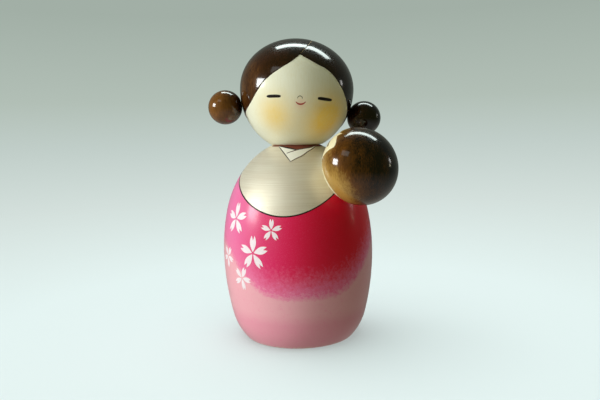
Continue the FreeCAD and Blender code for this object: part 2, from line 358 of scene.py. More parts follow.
class Nodes:
    """A shader tree with short ways to add to it."""

    def __init__(self, tree, coordinate):
        self.tree = tree
        self.place = self.add("ShaderNodeTexCoord", {}).outputs[coordinate]

    def add(self, kind, inputs, **settings):
        """A node with these settings, whose inputs are joined or set."""
        made = self.tree.nodes.new(kind)
        for key, value in settings.items():
            setattr(made, key, value)
        for key, source in inputs.items():
            self.join(made.inputs[key], source)
        return made

    def join(self, socket, source):
        """Links a socket, or sets it where the source is a plain number or colour."""
        if isinstance(source, bpy.types.NodeSocket):
            self.tree.links.new(source, socket)
        elif socket.type == "RGBA":
            socket.default_value = (*source, 1.0)
        else:
            socket.default_value = source

    def noise(self, size, detail=3.0, rough=0.5, stretch=(1, 1, 1)):
        """Noise with marks of this size in metres, drawn out along an axis by its stretch."""
        scale = [1 / (size * s) for s in stretch]
        place = self.add("ShaderNodeMapping", {"Vector": self.place, "Scale": scale}).outputs[0]
        return self.add("ShaderNodeTexNoise", {"Vector": place, "Scale": 1.0, "Detail": detail,
                                               "Roughness": rough}).outputs["Fac"]

    def field(self, name):
        """A number stored on the mesh."""
        return self.add("ShaderNodeAttribute", {}, attribute_name=name).outputs["Fac"]

    def maths(self, operation, first, second, clamp=False):
        return self.add("ShaderNodeMath", {0: first, 1: second}, operation=operation,
                        use_clamp=clamp).outputs[0]

    def shifted(self, value, noise, amount):
        """The value, moved up and down by the noise."""
        swing = self.maths("MULTIPLY", self.maths("SUBTRACT", noise, 0.5), 2 * amount)
        return self.maths("ADD", value, swing, clamp=True)

    def ramp(self, source, *stops):
        """Colours by position, each stop being (position, colour)."""
        made = self.add("ShaderNodeValToRGB", {0: source})
        elements = made.color_ramp.elements
        while len(elements) < len(stops):
            elements.new(1.0)
        for element, (position, colour) in zip(elements, stops):
            element.position = position
            element.color = (*colour, 1.0)
        return made.outputs["Color"]

    def mask(self, source, low, high, most=1.0):
        """None below low, growing to the most at high."""
        return self.ramp(source, (low, grey(0)), (high, grey(most)))

    def mix(self, factor, first, second, blend="MIX"):
        return self.add("ShaderNodeMix", {0: factor, 6: first, 7: second}, data_type="RGBA",
                        blend_type=blend).outputs[2]

    def levels(self, source, low, high, start=0.0, stop=1.0):
        """The source's span from start to stop, spread from low to high."""
        return self.add("ShaderNodeMapRange", {
            "Value": source, "From Min": start, "From Max": stop, "To Min": low, "To Max": high,
        }).outputs["Result"]


class Paint(Nodes):
    """One material, built round its Principled shader."""

    def __init__(self, name, specular, coat=0.0, coat_roughness=0.0):
        self.material = bpy.data.materials.new(name)
        self.material.use_nodes = True
        super().__init__(self.material.node_tree, "Object")
        self.shader = self.tree.nodes["Principled BSDF"]
        self.put("Specular IOR Level", specular)
        self.put("Coat Weight", coat)
        self.put("Coat Roughness", coat_roughness)

    def put(self, socket, source):
        self.join(self.shader.inputs[socket], source)

    def finish(self, colour, roughness, height, depth, strength):
        """Colour, roughness as (noise, low, high), and bumps of this height noise and depth."""
        self.put("Base Color", colour)
        self.put("Roughness", self.levels(*roughness))
        self.put("Normal", self.add("ShaderNodeBump", {
            "Height": height, "Distance": depth, "Strength": strength}).outputs[0])
        return self.material


def grey(value):
    return (value, value, value)


# ---------- materials

PALE_PINK = (0.87, 0.43, 0.49)
BASE_PINK = (0.82, 0.33, 0.42)
ROSE = (0.84, 0.20, 0.38)
MAGENTA = (0.76, 0.028, 0.15)
LIT_MAGENTA = (0.84, 0.20, 0.42)
CRIMSON = (0.77, 0.002, 0.020)
WORN_PINK = (0.80, 0.60, 0.50)
PEARL = ((0.70, 0.65, 0.51), (0.77, 0.73, 0.60), (0.85, 0.83, 0.71))
PEARL_SHADE = (0.72, 0.60, 0.46)
HEM_SPECK = (0.46, 0.30, 0.20)
MAPLE = ((0.50, 0.31, 0.16), (0.68, 0.48, 0.28), (0.76, 0.58, 0.37))
MAPLE_FIBRE = (0.42, 0.25, 0.12)
LIP_SHADE = (0.80, 0.36, 0.26)
# hair ramps from dark to light brown; the light end is painted light where the hair faces the
# lamps, the dark end partly painted shade
HAIR_STAIN_AND_LIGHT = ((0.003, 0.0010, 0.0007), (0.042, 0.013, 0.003), (0.19, 0.075, 0.014))
BABY_STAIN_AND_LIGHT = ((0.004, 0.0012, 0.0004), (0.13, 0.045, 0.005), (0.46, 0.27, 0.06))


def skirt_paint():
    """Airbrushed crimson that thins into speckled rose and pale pink over turned wood; towards the
    doll's right it turns a bluer pink, partly the paint's own hue and partly a painted sheen of the
    key light.
    """
    paint = Paint("skirt_paint", 0.12, 0.35, 0.18)
    mottle = paint.noise(1.6 * MM, detail=3, rough=0.6)
    speck = paint.noise(0.35 * MM, detail=1)
    lathe_lines = paint.noise(0.5 * MM, detail=2, stretch=(60, 60, 1))
    cover = paint.shifted(paint.shifted(paint.field("cover"), mottle, 0.30), speck, 0.16)
    magenta_and_sheen = paint.field("magenta_and_sheen")
    # painted sheen: the bluer pink towards the lit side is partly the paint's hue; its lightest
    # stop and the rose speckle stand for the key light's sheen there
    full = paint.ramp(magenta_and_sheen, (0.0, CRIMSON), (0.55, MAGENTA), (1.0, LIT_MAGENTA))
    grainy = paint.maths("MULTIPLY", paint.mask(speck, 0.52, 0.70, most=0.35),
                         paint.levels(magenta_and_sheen, 0.15, 0.9))
    full = paint.mix(grainy, full, ROSE)
    ground = paint.mix(paint.field("foot"), PALE_PINK, BASE_PINK)
    ground = paint.mix(paint.levels(lathe_lines, 0.0, 0.22), ground, BASE_PINK)
    thin = paint.mix(paint.mask(cover, 0.05, 0.35), ground, ROSE)
    colour = paint.mix(paint.mask(cover, 0.30, 0.82), thin, full)
    rub = paint.maths("MULTIPLY", paint.field("wear"),
                      paint.mask(paint.noise(1.1 * MM), 0.42, 0.62))
    return paint.finish(paint.mix(rub, colour, WORN_PINK), (mottle, 0.24, 0.40),
                        paint.mix(0.5, lathe_lines, speck), 0.012 * MM, 0.5)


def bodice_paint():
    """Pearl cream with a silky sheen and the fine rings that the lathe left."""
    paint = Paint("bodice_pearl", 0.4, 0.20, 0.30)
    paint.put("Metallic", 0.38)
    rings = paint.noise(0.45 * MM, detail=4, rough=0.65, stretch=(70, 70, 1))
    cloud = paint.noise(7 * MM, detail=2, stretch=(2, 2, 1))
    colour = paint.ramp(rings, *zip((0.30, 0.50, 0.72), PEARL))
    colour = paint.mix(paint.levels(cloud, 0.0, 0.55), colour, PEARL_SHADE)
    edge = paint.maths("MULTIPLY", paint.field("hem"),
                       paint.mask(paint.noise(0.5 * MM, detail=1), 0.62, 0.74))
    return paint.finish(paint.mix(edge, colour, HEM_SPECK), (rings, 0.44, 0.56),
                        rings, 0.02 * MM, 0.35)


def bare_wood():
    """Unpainted pale maple with turning rings and open grain."""
    paint = Paint("bare_wood", 0.35)
    grain = paint.noise(0.9 * MM, detail=4, rough=0.6, stretch=(1, 1, 14))
    fibre = paint.noise(0.16 * MM, detail=2, stretch=(1, 1, 30))
    colour = paint.ramp(grain, *zip((0.30, 0.55, 0.75), MAPLE))
    colour = paint.mix(paint.levels(fibre, 0.0, 0.3), colour, MAPLE_FIBRE)
    return paint.finish(colour, (grain, 0.55, 0.75), fibre, 0.05 * MM, 0.6)


def face_paint(name, ground, blush):
    """Satin cream over wood, with orange cheeks stored on the mesh."""
    paint = Paint(name, 0.20, 0.4, 0.14)
    grain = paint.noise(0.7 * MM, detail=4, rough=0.6, stretch=(1, 1, 9))
    puff = paint.noise(1.3 * MM, detail=3, rough=0.6)
    cheeks = paint.maths("MULTIPLY", paint.field("blush"), paint.levels(puff, 0.75, 1.15),
                         clamp=True)
    warmer = tuple(0.94 * part * tint for part, tint in zip(ground, (1.0, 0.95, 0.82)))
    colour = paint.mix(paint.mask(grain, 0.45, 0.8, most=0.6), ground, warmer)
    colour = paint.mix(cheeks, colour, blush)
    return paint.finish(paint.mix(paint.field("lips"), colour, LIP_SHADE), (grain, 0.28, 0.40),
                        grain, 0.012 * MM, 0.4)


def hair_lacquer(name, stain_and_light_colours, marks, streaks, flecks):
    """Clear lacquer over stained wood: brushed streaks, and lighter brown where the stored field is
    high, a base tone plus painted light on the lit side.
    """
    paint = Paint(name, 0.05, 1.0, 0.10)
    broad = paint.noise(marks, detail=3, rough=0.55, stretch=streaks)
    fine = paint.noise(marks * 0.14, detail=3, rough=0.6, stretch=streaks)
    # the stored field is a base tone plus painted light, so the brown shows lighter on the lit side
    tone = paint.shifted(paint.shifted(paint.field("tone_and_painted_light"), broad, 0.30), fine, flecks)
    return paint.finish(paint.ramp(tone, *zip((0.05, 0.50, 0.95), stain_and_light_colours)),
                        (fine, 0.22, 0.36), fine, 0.010 * MM, 0.35)


def brush_paint(name, colour, edge, roughness):
    """Flat brushed paint, a little uneven in tone and thickness."""
    paint = Paint(name, 0.20, 0.15, 0.20)
    uneven = paint.noise(0.6 * MM, detail=3, rough=0.6)
    return paint.finish(paint.ramp(uneven, (0.35, colour), (0.75, edge)),
                        (uneven, roughness - 0.06, roughness + 0.08), uneven, 0.02 * MM, 0.5)


# ---------- painted marks

def stain(piece, name, values):
    """Stores one number for each vertex, for the piece's shader to read."""
    field = piece.data.attributes.new(name, "FLOAT", "POINT")
    field.data.foreach_set("value", np.asarray(values, np.float32))


def corners(piece):
    """The piece's vertices as an array."""
    flat = np.zeros(3 * len(piece.data.vertices), np.float32)
    piece.data.vertices.foreach_get("co", flat)
    return flat.reshape(-1, 3).astype(float)


def slab(name, sheets, material):
    """Closed sheets, each between two grids of points with the same rows and columns."""
    points, faces = [], []
    for top, bottom in sheets:
        rows, columns = top.shape[:2]
        start, under = len(points), rows * columns
        points += [*top.reshape(-1, 3), *bottom.reshape(-1, 3)]
        grid = np.array(ring_faces(rows, columns, closed=False)) + start
        faces += grid.tolist() + (grid[:, ::-1] + under).tolist()
        numbers = start + np.arange(under).reshape(rows, columns)
        rim = np.concatenate([numbers[0], numbers[1:, -1], numbers[-1, -2::-1],
                              numbers[-2:0:-1, 0]])
        rim_after = np.roll(rim, -1)
        faces += np.stack([rim, under + rim, under + rim_after, rim_after], -1).tolist()
    return finish(new_object(name, points, faces, material), 50)


def stroke(name, surface, line, width, material, lift=0.05 * MM, sink=0.10 * MM, closed=False):
    """A brushed line: a low rounded ridge along a line of surface coordinates."""
    line = np.asarray(line, float)
    width = np.broadcast_to(width, len(line))[:, None]
    middle = surface(*line.T, 0.0)
    normal = unit(surface(*line.T, MM) - middle)
    if closed:
        along = np.roll(middle, -1, 0) - np.roll(middle, 1, 0)
    else:
        along = np.gradient(middle, axis=0)
    side = unit(np.cross(along, normal))
    section = [(-1, -sink), (-1, 0.0), (-0.6, 0.8 * lift), (0, lift), (0.6, 0.8 * lift),
               (1, 0.0), (1, -sink)]
    rings = np.stack([middle + side * width / 2 * x + normal * h for x, h in section], 1)
    if not closed:
        return finish(turned_object(name, list(rings), material), 60)
    count = len(rings) * len(section)
    faces = np.array(ring_faces(len(rings) + 1, len(section))) % count
    return finish(new_object(name, rings.reshape(-1, 3), faces.tolist(), material), 60)


def tapered(count, widest, start=0.25, end=0.25, power=2.0):
    """Widths along a stroke whose ends are this share of its widest."""
    t = np.linspace(-1, 1, count)
    ends = np.where(t < 0, start, end)
    return widest * (ends + (1 - ends) * (1 - np.abs(t) ** power))


# ---------- body

NECKLINE_FRONT = 65.4 * MM
NECKLINE_RISE = 27.0 * MM
SHOULDER_ROWS = lathe.outline[:, 1] > BELLY_HEIGHT + MM

# lower edge of the crimson, lowest a little to the doll's left of its front, and how it fades
FADE_LOWEST = 25.5 * MM
FADE_RISE = 24 * MM
FADE_DEPTH = 22 * MM
FADE_TURN = math.radians(15)
# where the bluer pink on the lit side is centred: partly the paint's hue, partly painted sheen
MAGENTA_AND_SHEEN_TURN = math.radians(-62)
FOOT_BAND = 19 * MM


def neckline(angle):
    """Height of the pearl bodice's lower edge."""
    return NECKLINE_FRONT + NECKLINE_RISE * (1 - np.exp(-1.6 * (1 - np.cos(angle))))


def on_shoulders(x, y, lift):
    """The place on the shoulders right under the point (x, y)."""
    along = np.interp(-np.hypot(x, y), -lathe.outline[SHOULDER_ROWS, 0],
                      lathe.length[SHOULDER_ROWS])
    return lathe.point(np.arctan2(x, -y), along, lift)


def make_body(skirt, bodice, wood):
    """The turned torso: its rows follow the neckline, where the paint changes."""
    columns, skirt_rows, bodice_rows = 320, 170, 100
    angle = np.arange(columns) / columns * TURN
    line = lathe.at_height(neckline(angle))
    start = lathe.outline[0, 0]
    base = [(start * share, 0.0) for share in (0.05, 0.3, 0.6, 0.85, 0.97)]
    bore_floor = NECK_HEIGHT - NECK_BORE_DEPTH
    inner = [(0.8 * NECK_RADIUS, NECK_HEIGHT), (NECK_BORE, NECK_HEIGHT),
             (NECK_BORE, NECK_HEIGHT - MM), (NECK_BORE, bore_floor), (MM, bore_floor)]
    rings = round_rings(base, columns)
    rings += [lathe.point(angle, line * share) for share in np.linspace(0, 1, skirt_rows)]
    rings += [lathe.point(angle, line + (lathe.total - line) * share)
              for share in np.linspace(0, 1, bodice_rows)[1:]]
    rings += round_rings(inner, columns)
    zones = ([2] * len(base) + [0] * (skirt_rows - 1) + [1] * (bodice_rows - 1)
             + [2] * len(inner))
    body = turned_object("painted_body", rings, [skirt, bodice, wood], zones=zones)
    top = BABY_CENTRE - (BABY_SEAT - SHOULDER_CUTTER_START) * BABY_UP
    finish(body, 35, [(top, -BABY_UP, BABY_BORE, SHOULDER_CUTTER_START + SHOULDER_BORE_DEPTH)])
    paint_body(body)
    return body


def paint_body(body):
    """Stores how thick each airbrushed colour lies."""
    x, y, z = corners(body).T
    angle = np.arctan2(x, -y)
    turned = 1 - np.cos(angle - FADE_TURN)
    lower_edge = FADE_LOWEST + FADE_RISE * (1 - np.exp(-5 * turned ** 2))
    stain(body, "cover", np.clip((z - lower_edge) / FADE_DEPTH, 0, 1) ** 0.6)
    # bluer pink towards the lit side, partly hue and partly painted sheen
    stain(body, "magenta_and_sheen", (0.5 + 0.5 * np.cos(angle - MAGENTA_AND_SHEEN_TURN)) ** 3.3)
    stain(body, "foot", np.clip((FOOT_BAND - z) / (6 * MM), 0, 1))
    stain(body, "wear", np.clip(1 - z / (1.6 * MM), 0, 1))
    stain(body, "hem", np.clip(1 - (z - neckline(angle)) / (5 * MM), 0, 1) * 0.5)


def make_neckline(ink):
    """The dark brushed line between skirt and bodice, heaviest at the front."""
    angle = np.linspace(0, TURN, 360, endpoint=False)
    width = (0.45 + 0.25 * np.cos(angle + math.radians(25))) * MM
    line = np.stack([angle, lathe.at_height(neckline(angle))], -1)
    return stroke("neckline", lathe.point, line, width, ink, closed=True)


# ---------- collar

# edges of the crossed collar seen from above, in millimetres from the neck axis
LAPEL_LEFT_OUT = [(-6.2, -11.9), (-4.1, -15.6), (-2.3, -18.3), (-0.6, -20.5), (1.5, -22.8)]
LAPEL_LEFT_IN = [(-5.9, -11.6), (-3.3, -13.4), (-1.0, -14.6), (1.6, -15.5), (4.2, -16.2)]
LAPEL_RIGHT_IN = [(-1.0, -18.5), (1.3, -17.3), (3.3, -16.1), (6.9, -13.7), (8.9, -11.9),
                  (10.8, -8.6)]
LAPEL_RIGHT_OUT = [(1.5, -22.9), (4.3, -20.8), (6.7, -18.6), (9.2, -14.4), (10.5, -11.5),
                   (11.4, -8.0)]
LAPEL_ROWS, LAPEL_COLUMNS = 40, 14


def evenly(line, count):
    """The smooth line through these points, as count points the same distance apart."""
    line = smooth_line(line) * MM
    steps = np.concatenate([[0], np.cumsum(np.hypot(*np.diff(line, axis=0).T))])
    at = np.linspace(0, steps[-1], count)
    return np.stack([np.interp(at, steps, line[:, 0]), np.interp(at, steps, line[:, 1])], -1)


def make_collar(white, skin, ink, thin_ink):
    """Neck skin painted dark red-brown as the shade under the chin, two lapels with the left one
    under the right, and their outlines.
    """
    left_out, left_in, right_in, right_out = [evenly(line, LAPEL_ROWS) for line in (
        LAPEL_LEFT_OUT, LAPEL_LEFT_IN, LAPEL_RIGHT_IN, LAPEL_RIGHT_OUT)]

    def patch(name, first, second, material, lift):
        across = np.linspace(0, 1, LAPEL_COLUMNS)[None, :, None]
        grid = first[:, None, :] * (1 - across) + second[:, None, :] * across
        sheet = [on_shoulders(grid[..., 0], grid[..., 1], h * MM) for h in (lift, -0.1)]
        return slab(name, [sheet], material)

    def from_above(radius):
        return np.stack([radius * np.sin(around), -radius * np.cos(around)], -1)

    # the skin reaches from the neck's edge to just under the lapels that cross in front of it, and
    # is painted dark as the head's shade on it
    around = np.linspace(math.radians(-55), math.radians(95), 2 * LAPEL_ROWS)
    inside = np.concatenate([left_in[:-6], right_in[14:]])
    inside_at = np.arctan2(inside[:, 0], -inside[:, 1])
    throat = np.interp(around, inside_at, np.hypot(*inside.T)) + 0.2 * MM
    pieces = [patch("shaded_neck_skin", from_above(1.003 * NECK_RADIUS), from_above(throat), skin, 0.03),
              patch("lapel_left", left_in, left_out, white, 0.09),
              patch("lapel_right", right_in, right_out, white, 0.16)]

    # width and lift in millimetres; the shoulder is seen so flatly that inner lines are wide
    lines = [(left_out, 0.50, 0.20, ink), (left_in, 1.5, 0.14, ink),
             (right_in, 1.1, 0.26, thin_ink), (right_out, 0.45, 0.24, thin_ink)]
    for number, (line, width, lift, material) in enumerate(lines, 1):
        pieces.append(stroke("collar_line_%d" % number, on_shoulders, line,
                             tapered(LAPEL_ROWS, width * MM, 0.5, 0.6), material,
                             lift=lift * MM, sink=0.05 * MM))
    return pieces


# ---------- blossoms

# each cherry blossom: angle round, height, petal length and turn of its first petal
BLOSSOMS = [(-43.6, 63.3, 7.9, 90), (-8.8, 59.2, 5.3, 90), (-23.4, 48.1, 8.2, 90),
            (-53.6, 44.2, 5.6, -90), (-35.2, 35.2, 5.9, -80)]
PETALS = 5
PETAL_ROWS, PETAL_COLUMNS = 16, 11


def make_blossom(number, where, white):
    """Five separate petals, each a leaf with a notched tip, painted round a small gap."""
    angle, height, length, turn = where
    along = lathe.at_height(height * MM)
    radius = lathe.radius(along)
    t = np.linspace(0, 1, PETAL_ROWS)[:, None]
    s = np.linspace(-1, 1, PETAL_COLUMNS)[None, :]
    half_width = 0.215 * np.sin(math.pi * (0.03 + 0.80 * t)) ** 1.05
    notch = 0.70 + 0.30 * np.abs(s) ** 0.9
    forward = (0.09 + 0.91 * t * notch) * length * MM
    sideways = half_width * s * length * MM
    sheets = []
    for k in range(PETALS):
        lean = math.radians(turn + 360 / PETALS * k)
        u = forward * math.cos(lean) - sideways * math.sin(lean)
        v = forward * math.sin(lean) + sideways * math.cos(lean)
        sheets.append([lathe.point(math.radians(angle) + u / radius, along + v, lift * MM)
                       for lift in (0.06, -0.08)])
    return slab("blossom_%d" % number, sheets, white)


# ---------- heads

# the face lies this far under the hair's surface, and the hair's inner skin just over the face
RECESS = 0.25 * MM
HAIR_DEPTH = RECESS - 0.012 * MM
HAIR_BEVEL = 0.28 * MM


class Cap:
    """A thin shell of hair on an egg, outside a hairline that closes round the face."""

    def __init__(self, egg, pole, sides, smooth):
        """Pole is a place inside the hairline, whose two sides run from the front to the nape."""
        self.egg = egg
        self.pole, self.east = look(*pole), look(90, 0)
        self.north = np.cross(self.pole, self.east)
        self.north *= np.sign(self.north[2])
        fine = [smooth_line(side, 10) if smooth else straight_runs(side) for side in sides]
        self.line = self.polar(look(*np.concatenate(fine).T))
        sharp = [(side[0], side[-1]) if smooth else side for side in sides]
        self.corners = distinct(self.polar(look(*np.concatenate(sharp).T))[0])

    def polar(self, direction):
        """Bearing round the pole and angle away from it."""
        return (np.arctan2(direction @ self.east, direction @ self.north),
                np.arccos(np.clip(direction @ self.pole, -1, 1)))

    def toward(self, bearing, distance):
        """Unit direction at this bearing and angle from the pole."""
        bearing, distance = [part[..., None] for part in np.broadcast_arrays(bearing, distance)]
        side = np.sin(bearing) * self.east + np.cos(bearing) * self.north
        return np.cos(distance) * self.pole + np.sin(distance) * side

    def edge(self, bearing):
        """The hairline's angle from the pole."""
        return np.interp(bearing, *self.line, period=TURN)

    def build(self, name, material, groove=None, bores=()):
        """Inner skin, bevelled edge at the hairline and outer skin, closed at the far pole."""
        even = np.linspace(0, TURN, 420, endpoint=False)
        away = np.abs((even[:, None] - self.corners + math.pi) % TURN - math.pi).min(1)
        bearing = np.sort(np.concatenate([even[away > 0.005], self.corners]))
        edge = self.edge(bearing)
        bevel = HAIR_BEVEL / self.egg.radius

        def ring(distance, lift):
            direction = self.toward(bearing, distance)
            return self.egg.point(direction, lift(direction) if callable(lift) else lift)

        rings = [ring(edge + (math.pi - edge) * share, -HAIR_DEPTH)
                 for share in np.linspace(0.995, 0, 60)]
        rings += [ring(edge + bevel * share, -HAIR_DEPTH * depth)
                  for share, depth in ((0.05, 0.75), (0.3, 0.32), (0.65, 0.07))]
        start = edge + bevel
        rings += [ring(start + (math.pi - start) * share, groove or 0.0)
                  for share in np.linspace(0, 0.995, 150)]
        return finish(turned_object(name, rings, material), 40, bores)


def straight_runs(points):
    """The points joined by straight runs, with a few steps on each run."""
    points = np.asarray(points, float)
    line = [a + (b - a) * t for a, b in zip(points, points[1:]) for t in np.arange(8) / 8]
    return np.array(line + [points[-1]])


def distinct(bearings):
    """The bearings in order within one turn, without repeats."""
    bearings = np.sort(np.mod(bearings, TURN))
    gaps = np.diff(np.concatenate([[bearings[-1] - TURN], bearings]))
    return bearings[gaps > 0.002]


def dab(piece, egg, name, *spots, base=0.0, most=np.inf):
    """Stains a piece of the egg with soft spots: strength, angle, latitude, radius in degrees."""
    direction = egg.directions(piece)
    for strength, angle, latitude, radius in spots:
        cosine = np.clip(direction @ look(angle, latitude), -1, 1)
        away = np.degrees(np.arccos(cosine)) / radius
        base = base + strength * np.exp(-1.4 * away ** 2)
    stain(piece, name, np.minimum(base, most))


def core_rings(egg, columns, latitudes):
    """Rings of the bare egg, RECESS under its surface, from the bottom up."""
    angle = np.arange(columns) / columns * 360
    return [egg.at(angle, latitude, -RECESS) for latitude in latitudes]


def feature(egg, name, places, steps, width, material, *taper):
    """A brushed line on a face, through these places, with its width in millimetres."""
    line = smooth_line(places, steps)

    def on_face(angle, latitude, height):
        return egg.at(angle, latitude, height - RECESS)

    return stroke(name, on_face, line, tapered(len(line), width * MM, *taper), material)


# ---------- mother's head

# hairline by angle from the face and latitude, down each side from the peak to the nape
HAIR_RIGHT = [(-2.5, 36.2), (-10.7, 26.5), (-19.9, 18.3), (-29.2, 10.0), (-36.5, 2.3),
              (-43.9, -5.9), (-54.6, -15.8), (-66, -22.0), (-80, -27.0), (-105, -33.0),
              (-140, -39.0), (-180, -42.0)]
HAIR_LEFT = [(-2.5, 36.2), (6.8, 30.6), (16.2, 25.3), (27.3, 20.0), (35.7, 12.5), (44.4, 2.5),
             (57.0, -9.1), (70.0, -20.0), (84, -31.0), (105, -37.5), (140, -41.0), (180, -42.0)]
PARTING = [(-2.5, 36.2), (3.5, 45.5), (10.4, 54.2), (24, 66), (70, 78), (150, 70), (172, 50),
           (179, 25), (180, 0), (180, -25), (180, -41.5)]
GROOVE_WIDTH = 0.45 * MM
GROOVE_DEPTH = 0.16 * MM
BUN_LATITUDE = math.radians(17.5)
BUN_GAP = 0.1 * MM


def unit_line(places, steps):
    """Unit directions along a smooth line over the head."""
    return unit(smooth_line(look(*np.array(places, float).T), steps))


def bun_axis(side):
    """Where a bun's dowel leaves the head, and its direction."""
    point = np.array([side * HEAD_RADIUS * math.cos(BUN_LATITUDE), 0,
                      -HEAD_CHIN * math.sin(BUN_LATITUDE)])
    fall = math.atan(math.tan(BUN_LATITUDE) * HEAD_RADIUS / HEAD_CHIN)
    outward = np.array([side * math.cos(fall), 0, -math.sin(fall)])
    return Vector(head.world(point)), Vector(outward @ head.matrix[:3, :3].T)


def bun_bores(depth):
    """The holes for both bun dowels, this deep into the head."""
    bores = []
    for side in (1, -1):
        point, outward = bun_axis(side)
        bores.append((point + CUTTER_START * outward, -outward, BUN_BORE, CUTTER_START + depth))
    return bores


def make_head_core(face):
    """The egg itself, cut flat over the neck and bored for its three dowels."""
    rings = core_rings(head, 288, np.linspace(-89.5, 89.5, 170))
    under, up = Vector((0, 0, NECK_HEIGHT + NECK_GAP)), Vector((0, 0, 1))
    bores = [(under, -up, HEAD_RADIUS, HEAD_CHIN),
             (under - CUTTER_START * up, up, NECK_BORE,
              CUTTER_START - NECK_GAP + HEAD_BORE_DEPTH)]
    core = finish(turned_object("painted_head", rings, face), 35, bores + bun_bores(BUN_BORE_DEPTH))
    dab(core, head, "blush", (0.70, -25, -28, 21), (1.15, 35, -27, 25), most=0.92)
    dab(core, head, "lips", (0.35, 1.2, -15.6, 5.5))
    return core


def make_head_hair(lacquer):
    """The hair, with a shallow groove for the parting and holes for the bun dowels."""
    parting = unit_line(PARTING, 16)

    def groove(direction):
        away = np.arccos(np.clip((direction @ parting.T).max(-1), -1, 1)) * head.radius
        return -GROOVE_DEPTH * np.exp(-(away / GROOVE_WIDTH) ** 2)

    cap = Cap(head, (0, -45), (HAIR_LEFT, HAIR_RIGHT), smooth=True)
    hair = cap.build("hair", lacquer, groove, bun_bores(MM))
    # painted light: lighter brown on the side towards the window and key, and at the back towards
    # the wall light, over a base tone
    dab(hair, head, "tone_and_painted_light", (0.46, -62, 0, 44), (0.25, 150, 0, 60), base=0.16)
    return hair


def make_parting(light):
    """The pale line at the bottom of the parting."""
    x, y, z = unit_line(PARTING, 14)[2:-2].T
    places = np.degrees([np.arctan2(x, -y), np.arcsin(z)]).T
    return stroke("hair_parting", head.at, places, tapered(len(x), 0.30 * MM, 0.4, 0.4, 6),
                  light, lift=-GROOVE_DEPTH + 0.05 * MM, sink=0.22 * MM)


# features by angle from the face and latitude
EYE_RIGHT = [(-33.2, -11.1), (-28.5, -10.8), (-23.5, -10.5), (-18.4, -10.4)]
EYE_LEFT = [(17.8, -9.7), (22.8, -9.7), (28.0, -9.9), (33.7, -10.0)]
NOSE = [(-1.9, -11.3), (-1.7, -9.9), (0.3, -9.0), (2.2, -9.9), (2.4, -11.3)]
MOUTH = [(-3.5, -14.2), (-1.4, -15.6), (1.3, -16.1), (4.0, -15.3), (6.2, -13.6)]


def make_features(ink, red, olive):
    """Closed eyes, a small nose and a smile."""
    return [feature(head, "eye_right", EYE_RIGHT, 8, 1.45, ink, 0.40, 0.60, 4.0),
            feature(head, "eye_left", EYE_LEFT, 8, 1.50, ink, 0.60, 0.50, 4.0),
            feature(head, "nose", NOSE, 6, 0.36, olive, 0.6, 0.6),
            feature(head, "mouth", MOUTH, 6, 0.75, red, 0.35, 0.35)]


def make_bun(name, side, lacquer):
    """A ball with a small flat against the head and a bore for its dowel."""
    flat = math.asin(BUN_SEAT / BUN_RADIUS)
    floor = BUN_BORE_DEPTH - BUN_SEAT
    profile = [(0.2 * MM, floor), (BUN_BORE, floor), (BUN_BORE, -BUN_SEAT)]
    profile += [(BUN_RADIUS * math.cos(a), BUN_RADIUS * math.sin(a))
                for a in np.linspace(-flat, math.radians(89.3), 80)]
    point, outward = bun_axis(side)
    centre = np.array(point + outward * (BUN_SEAT + BUN_GAP))
    turned = np.array(outward.to_track_quat("Z", "Y").to_matrix())
    rings = [centre + ring @ turned.T for ring in round_rings(profile, 120)]
    bun = finish(turned_object(name, rings, lacquer), 40)
    left = (corners(bun) - centre)[:, 0] / BUN_RADIUS
    # painted light: the bun on the doll's right, and each bun's side towards it, lighter as if lit
    # by the key
    stain(bun, "tone_and_painted_light", 0.46 - 0.28 * side - 0.25 * left)
    return bun


# ---------- baby's head

# one side of the hairline: a jagged fringe, a straight side and a low edge round the back
BABY_HAIR = [(0, 14.0), (9, 12.5), (18, 12.0), (25.8, 21.5), (29.6, 13.1), (37, 14.5),
             (44.4, 15.3), (50.1, 14.1), (53, 11.5), (52.5, 1), (52.8, -10), (53.6, -22.0),
             (60, -26.5), (90, -27.5), (116, -29.0), (150, -38), (180, -42)]
# a painted lit spot on the baby's hair
BABY_LIT_SPOT = (1.0, 107, -29, 56)    # strength, angle, latitude and radius of a bright spot


def make_baby_core(face):
    """The baby's ball with its hollow seat and its bore, turned about the dowel."""
    columns = 220
    wide, tall = BABY_RADIUS - RECESS, BABY_AXIS - RECESS
    seat_centre = -(BABY_SEAT + BABY_DISH)

    def seat_height(radius):
        return seat_centre + math.sqrt(BABY_DISH ** 2 - radius ** 2)

    # the ball's and the seat's outlines meet where both give the same radius at one height
    heights = np.roots([1 - (wide / tall) ** 2, -2 * seat_centre,
                        seat_centre ** 2 + wide ** 2 - BABY_DISH ** 2])
    rim = -math.asin(min(abs(heights)) / tall)
    floor = BABY_BORE_DEPTH - BABY_SEAT
    profile = [(0.3 * MM, floor), (BABY_BORE, floor), (BABY_BORE, seat_height(BABY_BORE))]
    profile += [(r, seat_height(r)) for r in np.linspace(BABY_BORE, wide * math.cos(rim), 12)[1:]]
    rings = [baby.world(ring) for ring in round_rings(profile, columns)]
    rings += core_rings(baby, columns, np.linspace(math.degrees(rim), 89.3, 130)[1:])
    core = finish(turned_object("baby_painted_head", rings, face), 30)
    dab(core, baby, "blush", (0.8, -30, -27, 13), (0.8, 30, -27, 13))
    dab(core, baby, "lips", (0.3, 0, -21, 7))
    return core


